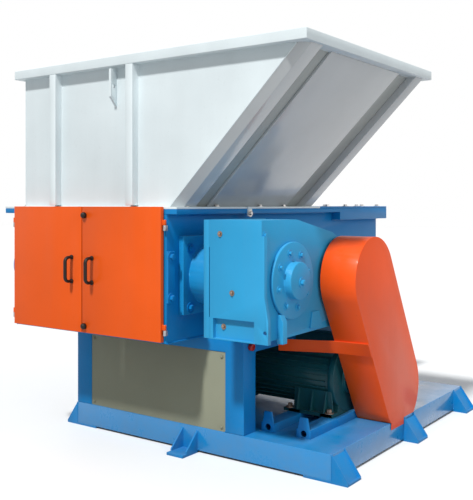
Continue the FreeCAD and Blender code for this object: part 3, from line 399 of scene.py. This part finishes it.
washer = {"Vertices": 20, "Radius": across * 1.02, "Depth": washer_thick}
washer = raised(spots.node("GeometryNodeMeshCylinder", {}, washer), washer_thick * 0.5)
head = {"Vertices": 6, "Radius": across * 0.577, "Depth": high}
head = raised(spots.node("GeometryNodeMeshCylinder", {}, head), washer_thick + high * 0.5)
crown = {"Vertices": 18, "Radius Top": across * 0.40, "Radius Bottom": across * 0.50}
crown["Depth"] = high * 0.12
crown = raised(spots.node("GeometryNodeMeshCone", {}, crown), washer_thick + high)
whole_bolt = spots.node("GeometryNodeJoinGeometry", {}, {"Geometry": [washer, head, crown]})
turned_to = spots.node("FunctionNodeEulerToRotation", {}, {"Euler": facing})
placed = {"Points": spots, "Instance": whole_bolt, "Rotation": turned_to}
placed = spots.node("GeometryNodeInstanceOnPoints", {}, placed)
sixth_turn = 1.047
twist = {0: (0.0, 0.0, 0.0), 1: (0.0, 0.0, sixth_turn), "Seed": seed}
twist = spots.node("FunctionNodeRandomValue", {"data_type": "FLOAT_VECTOR"}, twist)
twist = spots.node("FunctionNodeEulerToRotation", {}, {"Euler": twist})
placed = {"Instances": placed, "Rotation": twist, "Local Space": True}
placed = spots.node("GeometryNodeRotateInstances", {}, placed)
tree_end(bolt_tree, placed, bolt_finish)


def bolts(name, places, facing, across, finish, slot, body="machine", height=0.45):
    """Hexagon heads on washers at given places, all facing one way."""
    way = Vector(facing).to_track_quat("Z", "Y").to_euler()
    inputs = {
        "Across flats": across,
        "Head height": across * height,
        "Facing": tuple(way),
        "Seed": 7,
        "Finish": finish,
    }
    return grown(name, bolt_tree, places, [], inputs, slot, body)


screw_z, sheet_front, sheet_left = (0.176, 0.578), -0.929, -0.751
places = [(x, sheet_front, z) for x in (-0.600, 0.426) for z in screw_z]
bolts("front_panel_screws", places, (0, -1, 0), 0.013, panel_grey, "panel_grey")
places = [(sheet_left, y, z) for y in (-0.790, 0.825) for z in screw_z]
bolts("left_panel_screws", places, (-1, 0, 0), 0.013, panel_grey, "panel_grey")

# Cutting chamber
# Thick flame-cut side plates, cross plates and a heavy top flange, welded and
# sprayed blue; the feed floor, bed knife, screen and pusher are bare steel.
for node, width in (
    ("chamber_side_plates", 0.003),
    ("chamber_cross_plates", 0.003),
    ("chamber_flange", 0.004),
    ("rear_cover", 0.003),
):
    eased(node, width, frame_blue, "frame_blue")
plate_front, rear_start, plate_back = -1.265, 0.575, 1.315
plate_foot, under_flange, under_cover = 0.685, 1.386, 1.331
runs = []
for x in (-0.951, 0.305):
    runs.append(((x, plate_front, plate_foot), (x, plate_back, plate_foot)))
    runs.append(((x, plate_front, under_flange), (x, rear_start, under_flange)))
    runs.append(((x, rear_start, under_cover), (x, plate_back, under_cover)))
runs.append(((-0.921, 1.319, 0.686), (0.275, 1.319, 0.686)))
welds("chamber_welds", runs, 0.005, frame_blue, "frame_blue")


def steel(name, colour, rough=0.34, grain=(3.0, 220.0, 220.0), stain=0.35):
    """Bare steel: fine drawn grain, cloudy stains and duller patches."""
    finish, shader, place = blank_finish(name)
    lines = place.stretched(*grain).noise(1.0, 4.0, 0.6)
    cloud = place.noise(6.0, 5.0, 0.65).between(0.35, 0.72)
    tone = lines.mix(tuple(c * 0.82 for c in colour), tuple(min(1.0, c * 1.12) for c in colour))
    tone = (cloud * stain).mix(tone, (0.16, 0.12, 0.09))
    dull = rough + cloud * 0.28 + lines * 0.12
    bump = place.node("ShaderNodeBump", {}, {"Strength": 0.12, "Distance": 0.0006, "Height": lines})
    dress(shader, tone, dull, bump)
    shader.inputs["Metallic"].default_value = 1.0
    return finish


wear_steel = steel("worn steel", (0.42, 0.42, 0.43))
zinc = steel("zinc plated steel", (0.62, 0.60, 0.58), rough=0.30, grain=(40.0, 40.0, 40.0), stain=0.25)
flange_top = 1.430
places = [(x, y, flange_top) for x in (-1.040, 0.351) for y in (0.430, 0.703, 0.970, 1.232)]
places += [(x, 1.335, flange_top) for x in (-0.78, -0.48, -0.18, 0.12)]
bolts("rear_cover_bolts", places, (0, 0, 1), 0.024, zinc, "wear_steel")
tool_steel = steel("ground tool steel", (0.58, 0.58, 0.60), rough=0.22, stain=0.12)
for node, width, finish, slot in (
    ("feed_floor", 0.002, wear_steel, "wear_steel"),
    ("bed_knife", 0.0015, tool_steel, "tool_steel"),
    ("screen", 0.001, wear_steel, "wear_steel"),
    ("pusher", 0.004, wear_steel, "wear_steel"),
    ("rotor", 0.002, wear_steel, "wear_steel"),
    ("rotor_knives", 0.001, tool_steel, "tool_steel"),
):
    eased(node, width, finish, slot)

# Rotor bearings
# Cast iron housings on square plates, bolted to the chamber's sides over the
# rotor's shaft, with grease nipples on top; the left one has a closing cover.
# The housings' blue is the frame's blue made lighter, as painted light for their lit barrels.
bearing_lit_blue = enamel("bearing blue with painted light", (0.010, 0.290, 0.620), ripple=0.2)
eased("bearing_housings", 0.004, bearing_lit_blue, "frame_blue")
eased("bearing_cover", 0.004, bearing_lit_blue, "frame_blue")
corners = [(y, z) for y in (-1.105, -0.801) for z in (0.867, 1.197)]
strip = [(-1.242, 0.931), (-1.242, 1.157)]
for name, x, y_z, way in (
    ("right_bearing_bolts", 0.339, corners, 1),
    ("left_bearing_bolts", -0.985, corners, -1),
    ("right_strip_bolts", 0.317, strip, 1),
    ("left_strip_bolts", -0.963, strip, -1),
):
    bolts(name, [(x, y, z) for y, z in y_z], (way, 0, 0), 0.030, frame_blue, "frame_blue")


def turned(centre, axis, outline, steps=24):
    """Round form from its half outline, pairs of height along the axis and radius."""
    shape = bmesh.new()
    rings = []
    for high, radius in outline:
        angles = [math.tau * i / steps for i in range(steps if radius else 1)]
        circle = [(radius * math.cos(a), radius * math.sin(a), high) for a in angles]
        rings.append([shape.verts.new(point) for point in circle])
    for low, top in zip(rings, rings[1:]):
        for i in range(steps):
            j = (i + 1) % steps
            corners = [low[i % len(low)], low[j % len(low)], top[j % len(top)], top[i % len(top)]]
            shape.faces.new(list(dict.fromkeys(corners)))
    for end in (rings[0], rings[-1]):
        if len(end) > 1:
            shape.faces.new(end)
    bmesh.ops.recalc_face_normals(shape, faces=shape.faces)
    turn = Vector(axis).to_track_quat("Z", "Y").to_matrix().to_4x4()
    bmesh.ops.transform(shape, matrix=Matrix.Translation(centre) @ turn, verts=shape.verts)
    return shape


def merged(name, shapes, finish, slot, body, *nodes, ease=0.0):
    """One piece out of several closed forms, each with its faces facing outwards."""
    whole = bmesh.new()
    for shape in shapes:
        loose = bpy.data.meshes.new("loose")
        shape.to_mesh(loose)
        shape.free()
        whole.from_mesh(loose)
        bpy.data.meshes.remove(loose)
    mesh = bpy.data.meshes.new(name)
    whole.to_mesh(mesh)
    whole.free()
    mesh.materials.append(finish)
    mesh.shade_smooth()
    mesh.set_sharp_from_angle(angle=math.radians(34))
    piece = bpy.data.objects.new(name, mesh)
    scene.collection.objects.link(piece)
    if ease:
        soften(piece, ease)
    return settle(piece, slot, body, *nodes)


nipple = [(0, 0), (0, 0.009), (0.006, 0.009), (0.007, 0.006), (0.016, 0.005), (0.020, 0.0065)]
nipple += [(0.024, 0.003), (0.024, 0)]
for side, x in (("right", 0.450), ("left", -1.090)):
    form = turned((x, -0.953, 1.203), (0, 0, 1), nipple, steps=16)
    merged(side + "_grease_nipple", [form], zinc, "wear_steel", "machine")

# Hopper
# Folded sheet walls with flat bar ribs, a box section rim and a foot flange,
# welded and sprayed white; the sloped wall carries two channels and a panel, shown grey as painted
# shade.
hopper_white = enamel("hopper white enamel", (0.765, 0.845, 0.872), coat=0.10, dust=0.04, grime=0.0)
glossy = {"gloss": 0.12, "coat": 0.5, "ripple": 0.2, "grime": 0.0, "shine": 0.4}
# The slope wall, its channels and its panel carry the same white paint. Their two greys are painted
# shade for the underside that faces down and away. The wall's grey is darker still, as painted shade in
# the recesses beside the channels.
slope_grey = enamel("slope painted shade grey", (0.520, 0.545, 0.560), **glossy)
duller = {"gloss": 0.30, "coat": 0.1, "ripple": 0.2, "grime": 0.0}
slope_wall_shade_grey = enamel("slope wall painted shade grey", (0.400, 0.425, 0.415), **duller)
for node, width in (
    ("hopper_end_walls", 0.001),
    ("hopper_left_wall", 0.001),
    ("hopper_foot_flange", 0.001),
    ("hopper_rim", 0.004),
    ("hopper_ribs", 0.003),
    ("lifting_lug", 0.002),
):
    eased(node, width, hopper_white, "hopper_white")
eased("hopper_slope_wall", 0.001, slope_wall_shade_grey, "hopper_white")
eased("slope_panel", 0.004, slope_grey, "slope_grey")
channels = eased("slope_channels", 0.002, slope_grey, "slope_grey")
low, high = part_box("slope_channels")
chamfer = 0.040
for corner in channels.data.vertices:
    lean = (corner.co.z - low[2]) * (high[0] - low[0]) / (high[2] - low[2])
    if corner.co.x > low[0] + lean * 0.95 + 0.025:
        if corner.co.y < low[1] + 0.001:
            corner.co.y += chamfer
        if corner.co.y > high[1] - 0.001:
            corner.co.y -= chamfer
bolt_y = (-1.150, -0.870, -0.420, -0.140, 0.146)
places = [(x, y, flange_top) for x in (-1.000, 0.345) for y in bolt_y]
places += [(x, 0.258, flange_top) for x in (-0.700, -0.300, 0.100)]
bolts("hopper_foot_bolts", places, (0, 0, 1), 0.020, zinc, "wear_steel")
bolts("hopper_clip_bolt", [(0.385, -0.587, 1.390)], (1, 0, 0), 0.022, zinc, "wear_steel")
foot_seam, rim_seam = 1.432, 2.233
runs = [
    ((-0.909, -1.230, 1.438), (-0.909, -1.230, rim_seam)),
    ((0.299, -1.229, 1.436), (1.104, -1.229, 2.231)),
    ((-0.908, -1.232, rim_seam), (1.105, -1.232, rim_seam)),
    ((-0.908, -1.232, foot_seam), (0.294, -1.232, foot_seam)),
    ((-0.912, -1.225, rim_seam), (-0.912, 0.222, rim_seam)),
    ((-0.912, -1.225, foot_seam), (-0.912, 0.222, foot_seam)),
    ((-0.909, 0.229, 1.438), (-0.909, 0.229, rim_seam)),
    ((0.299, 0.228, 1.436), (1.104, 0.228, 2.231)),
]
rib_foot, half_rib = 1.440, 0.0275
for middle in (-0.603, 0.034):
    for x in (middle - half_rib, middle + half_rib):
        for y in (-1.230, 0.227):
            runs.append(((x, y, rib_foot), (x, y, rim_seam)))
for middle in (-0.866, -0.137):
    for y in (middle - half_rib, middle + half_rib):
        runs.append(((-0.910, y, rib_foot), (-0.910, y, rim_seam)))
welds("hopper_welds", runs, 0.003, hopper_white, "hopper_white")

# Front doors
# Folded tray doors, sprayed orange, on pin hinges, with bent pulls and two
# quarter-turn locks of black plastic.
door_orange = enamel("door orange enamel", (0.825, 0.102, 0.005), gloss=0.36, ripple=0.12, grime=0.0)
eased("left_door", 0.0015, door_orange, "door_orange", "left_leaf")
eased("right_door", 0.0015, door_orange, "door_orange", "right_leaf")


def moulded(name, colour, rough=0.45):
    """Moulded plastic or rubber: fine grain, faint scuffs."""
    finish, shader, place = blank_finish(name)
    grain = place.noise(900.0, 2.0)
    scuff = place.noise(24.0, 5.0, 0.7).between(0.55, 0.72)
    tone = (scuff * 0.35).mix(colour, tuple(c * 1.6 + 0.02 for c in colour))
    bump = place.node("ShaderNodeBump", {}, {"Strength": 0.15, "Distance": 0.0004, "Height": grain})
    dress(shader, tone, rough + scuff * 0.2, bump)
    shader.inputs["Specular IOR Level"].default_value = 0.3
    return finish


black_plastic = moulded("black plastic", (0.009, 0.006, 0.005), rough=0.50)


def swept_bar(spine, across, deep, facets=20):
    """Oval bar along a line of points in the plane of Y and Z, closed at both ends."""
    shape = bmesh.new()
    rings = []
    for i, point in enumerate(spine):
        ahead = spine[min(i + 1, len(spine) - 1)] - spine[max(i - 1, 0)]
        ahead.normalize()
        side = Vector((1.0, 0.0, 0.0))
        out = side.cross(ahead)
        ring = []
        for j in range(facets):
            a = math.tau * j / facets
            flat = math.cos(a) * across / 2
            ring.append(shape.verts.new(point + side * flat + out * (math.sin(a) * deep / 2)))
        rings.append(ring)
    for low, top in zip(rings, rings[1:]):
        for i in range(facets):
            j = (i + 1) % facets
            shape.faces.new((low[i], low[j], top[j], top[i]))
    shape.faces.new(rings[0])
    shape.faces.new(rings[-1])
    bmesh.ops.recalc_face_normals(shape, faces=shape.faces)
    return shape


for side in ("left", "right"):
    low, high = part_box(side + "_handle")
    x = (low[0] + high[0]) / 2
    pad, bend = 0.014, 0.026
    bar_wide, bar_deep = 0.024, 0.018
    foot_z, top_z = low[2] + pad, high[2] - pad
    front = low[1] + bar_deep / 2
    quarter = [math.pi / 2 * i / 8 for i in range(9)]
    spine = [Vector((x, high[1], foot_z))]
    for a in quarter:
        inset, rise = bend * (1 - math.sin(a)), bend * (1 - math.cos(a))
        spine.append(Vector((x, front + inset, foot_z + rise)))
    for a in reversed(quarter):
        inset, rise = bend * (1 - math.sin(a)), bend * (1 - math.cos(a))
        spine.append(Vector((x, front + inset, top_z - rise)))
    spine.append(Vector((x, high[1], top_z)))
    flange = [(0, pad), (0.006, pad), (0.009, pad * 0.85), (0.012, 0.010)]
    forms = [swept_bar(spine, bar_wide, bar_deep)]
    forms += [turned((x, high[1], z), (0, -1, 0), flange) for z in (foot_z, top_z)]
    stands_for = side + "_handle"
    merged(side + "_pull", forms, black_plastic, "black_plastic", side + "_leaf", stands_for)

low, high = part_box("door_locks")
rise = high[1] - low[1]
dome = [(0, 0.0165), (0.004, 0.018), (rise * 0.5, 0.018), (rise * 0.75, 0.0155)]
dome += [(rise * 0.92, 0.010), (rise, 0.004)]
knobs = [turned((-0.299, high[1], z), (0, -1, 0), dome) for z in (0.731, 1.380)]
merged("lock_knobs", knobs, black_plastic, "black_plastic", "right_leaf", "door_locks")
eased("door_hinges", 0.001, wear_steel, "wear_steel")

# Reducer
# Tall cast gear housing in light blue, with a bolted plate towards the rotor
# and a round cover over the output bearing.
reducer_blue = enamel("reducer blue enamel", (0.030, 0.350, 0.660), gloss=0.36, ripple=0.22)
for node, width in (
    ("reducer_housing", 0.005),
    ("reducer_flange_plate", 0.003),
    ("reducer_cover", 0.004),
):
    eased(node, width, reducer_blue, "reducer_blue")
ring_y, ring_z, ring_radius = -0.953, 1.040, 0.150
angles = [math.radians(15 + 45 * i) for i in range(8)]
circle = [(ring_y + ring_radius * math.cos(a), ring_z + ring_radius * math.sin(a)) for a in angles]
ring = [(0.921, y, z) for y, z in circle]
bolts("cover_ring_bolts", ring, (1, 0, 0), 0.022, reducer_blue, "reducer_blue")
parting = [(0.903, -1.203, 1.287), (0.903, -1.203, 1.213)]
bolts("reducer_parting_bolts", parting, (1, 0, 0), 0.018, reducer_blue, "reducer_blue")
bolts("reducer_cap_bolt", [(0.965, -0.944, 1.030)], (1, 0, 0), 0.028, reducer_blue, "reducer_blue")
plugs = [(0.648, -1.208, 0.803), (0.641, -1.232, 1.289), (0.719, -1.232, 0.985)]
brown_steel = steel("browned steel", (0.34, 0.25, 0.20), rough=0.40, stain=0.5)
bolts("reducer_plugs", plugs, (0, -1, 0), 0.015, brown_steel, "wear_steel", height=0.6)


def cast(outline, axis, low, high):
    """Closed form drawn in the plane across an axis, from low to high along it."""
    order = {"x": (2, 0, 1), "y": (0, 2, 1), "z": (0, 1, 2)}[axis]
    shape = bmesh.new()
    rows = []
    for level in (low, high):
        points = [(a, b, level) for a, b in outline]
        rows.append([shape.verts.new([point[i] for i in order]) for point in points])
    shape.faces.new(rows[0])
    shape.faces.new(rows[1])
    for i in range(len(outline)):
        j = (i + 1) % len(outline)
        shape.faces.new((rows[0][i], rows[0][j], rows[1][j], rows[1][i]))
    bmesh.ops.recalc_face_normals(shape, faces=shape.faces)
    return shape


sump = [(-1.080, 0.7365), (-0.500, 0.7425), (-0.400, 0.800), (-0.400, 0.850), (-1.080, 0.800)]
ear = [(0.900, 0.719), (0.938, 0.719), (0.938, 0.835), (0.918, 0.872), (0.900, 0.872)]
rib = [(-0.760, 0.760), (-0.650, 0.748), (-0.636, 0.790), (-0.665, 0.850), (-0.740, 0.850)]
castings = [cast(sump, "x", 0.590, 0.900), cast(ear, "y", -1.088, -1.044), cast(rib, "x", 0.900, 0.912)]
merged("reducer_sump", castings, reducer_blue, "reducer_blue", "machine", ease=0.004)

# Motor
# Finned cast barrel with end covers, feet and a terminal box, sprayed dark
# green and bolted down on two slide rails.
motor_green = enamel("motor green enamel", (0.003, 0.074, 0.090), coat=0.15, ripple=0.2, grime=0.1)
for node, width in (("motor_body", 0.001), ("motor_end_covers", 0.004), ("motor_feet", 0.003)):
    eased(node, width, motor_green, "motor_green")
eased("motor_rails", 0.0015, frame_blue, "frame_blue")
pad_low, pad_top, web_top = 0.1985, 0.219, 0.342
feet = []
for y, out in ((-0.444, -1), (-0.072, 1)):
    edge, inside = y + 0.039 * out, y - 0.035 * out
    pad = [(0.560, edge), (0.892, edge), (0.892, inside), (0.560, inside)]
    feet.append(cast(pad, "z", pad_low, pad_top))
    cheek = [(0.610, 0.218), (0.878, 0.218), (0.870, 0.345), (0.618, 0.345)]
    feet.append(cast(cheek, "y", y - 0.006, y + 0.006))
    for x in (0.650, 0.745, 0.835):
        web = [(edge, 0.218), (y, 0.218), (y, web_top), (y + 0.010 * out, web_top)]
        feet.append(cast(web, "x", x - 0.005, x + 0.005))
merged("motor_foot_bars", feet, motor_green, "motor_green", "machine", ease=0.002)
places = [(x, y, pad_top) for x in (0.595, 0.862) for y in (-0.463, -0.053)]
bolts("motor_foot_bolts", places, (0, 0, 1), 0.026, brown_steel, "wear_steel", height=0.7)
lid_top = 0.690
tray = [(0.585, -0.385), (0.855, -0.385), (0.855, -0.195), (0.585, -0.195)]
lid = [(0.579, -0.391), (0.861, -0.391), (0.861, -0.189), (0.579, -0.189)]
forms = [cast(tray, "z", 0.520, 0.672), cast(lid, "z", 0.674, lid_top)]
merged("terminal_box", forms, motor_green, "motor_green", "machine", ease=0.004)
places = [(x, y, lid_top) for x in (0.595, 0.845) for y in (-0.375, -0.205)]
bolts("terminal_box_screws", places, (0, 0, 1), 0.010, zinc, "wear_steel")

# Belt drive and its guard
# Cast pulleys and belts inside a folded sheet case, sprayed orange, with a
# flat bar from the frame that steadies it.
pulley_iron = steel("pulley iron", (0.30, 0.30, 0.31), rough=0.4)
belt_rubber = moulded("belt rubber", (0.022, 0.022, 0.022), rough=0.7)
eased("reducer_pulley", 0.002, pulley_iron, "pulley_iron")
eased("motor_pulley", 0.002, pulley_iron, "pulley_iron")
eased("drive_belts", 0.001, belt_rubber, "belt_rubber")
guard_orange = enamel("guard orange enamel", (0.930, 0.092, 0.005), gloss=0.32, coat=0.10, ripple=0.16)
eased("belt_guard", 0.003, guard_orange, "guard_orange")


def strap(stations, thick):
    """Flat bar through pairs of top and bottom points, with its back on them."""
    shape = bmesh.new()
    rows = []
    for x, top, bottom in stations:
        corners = [(x, top[0], top[1]), (x, bottom[0], bottom[1])]
        corners += [(x, bottom[0] - thick, bottom[1]), (x, top[0] - thick, top[1])]
        rows.append([shape.verts.new(corner) for corner in corners])
    for low, high in zip(rows, rows[1:]):
        for i in range(4):
            shape.faces.new((low[i], low[(i + 1) % 4], high[(i + 1) % 4], high[i]))
    shape.faces.new(rows[0])
    shape.faces.new(rows[-1])
    bmesh.ops.recalc_face_normals(shape, faces=shape.faces)
    return shape


stations = [
    (0.581, (-0.567, 0.645), (-0.567, 0.575)),
    (0.915, (-0.512, 0.658), (-0.470, 0.580)),
    (1.142, (-0.515, 0.662), (-0.471, 0.582)),
]
form = strap(stations, 0.008)
merged("guard_strap", [form], guard_orange, "guard_orange", "machine", "guard_bracket", ease=0.002)

# Stop button
# Red mushroom push button, moulded in plastic and screwed into the side of the
# front post.
button_red = moulded("button red plastic", (0.42, 0.020, 0.018), rough=0.25)
eased("stop_button", 0.005, button_red, "button_red")
